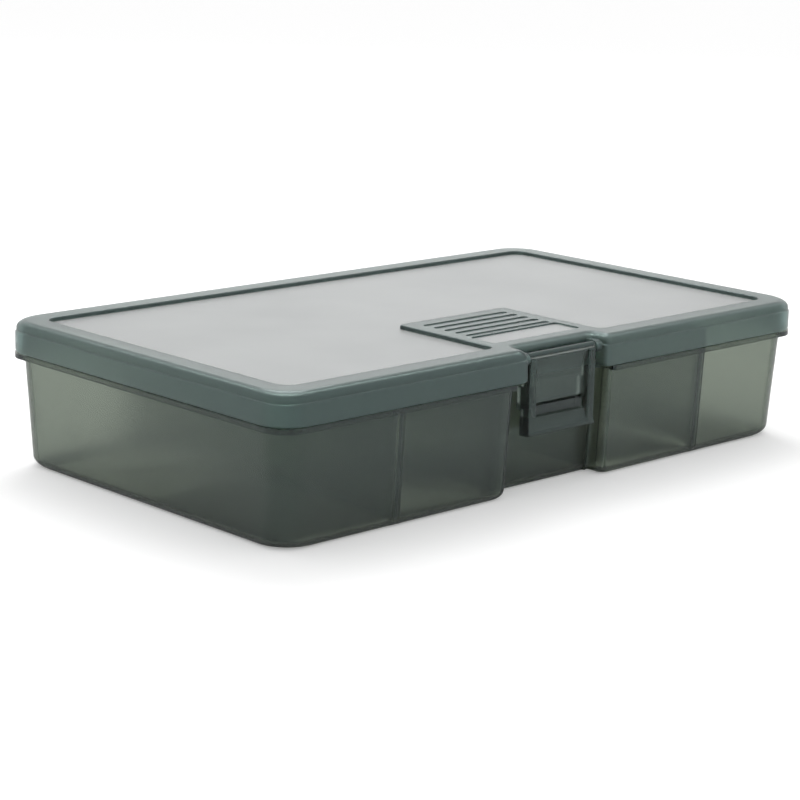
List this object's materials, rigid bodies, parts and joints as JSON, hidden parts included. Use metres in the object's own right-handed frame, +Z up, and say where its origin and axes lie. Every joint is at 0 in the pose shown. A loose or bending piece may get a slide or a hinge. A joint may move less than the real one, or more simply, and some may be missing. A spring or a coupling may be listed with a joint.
{
  "type": "tackle box",
  "caption": "Flat see-through tackle box with upright partitions, a hinged lid with a sunk panel and a front snap latch.",
  "frame": {"origin": "middle of the flat underside of the tray", "axes": "+X along the long front side to the viewer's right, -Y out of the front with the latch, +Z up"},
  "size_m": [0.356, 0.2107, 0.072],
  "materials": {
    "tray_plastic": "smoky grey-green translucent plastic, glossy",
    "lid_plastic": "see-through plastic with a frosted panel and a glossy rim",
    "latch_plastic": "smoky translucent plastic, glossy",
    "divider_plastic": "smoky translucent plastic, glossy",
    "pin_steel": "drawn steel wire"
  },
  "bodies": {
    "tray": {"base_tray": "tray_plastic", "divider_1": "divider_plastic", "divider_2": "divider_plastic", "divider_3": "divider_plastic", "divider_4": "divider_plastic", "hinge_pin_left": "pin_steel", "hinge_pin_right": "pin_steel"},
    "lid": {"lid": "lid_plastic", "latch_pin": "pin_steel"},
    "latch": {"latch": "latch_plastic"}
  },
  "joints": [
    {"name": "lid_hinge", "type": "hinge", "parent": "tray", "child": "lid", "pos_m": [0, 0.1056, 0.057], "axis": [-1, 0, 0], "range_deg": [0, 180]},
    {"name": "latch_hinge", "type": "hinge", "parent": "lid", "child": "latch", "pos_m": [0, -0.096, 0.066], "axis": [-1, 0, 0], "range_deg": [0, 120]}
  ]
}
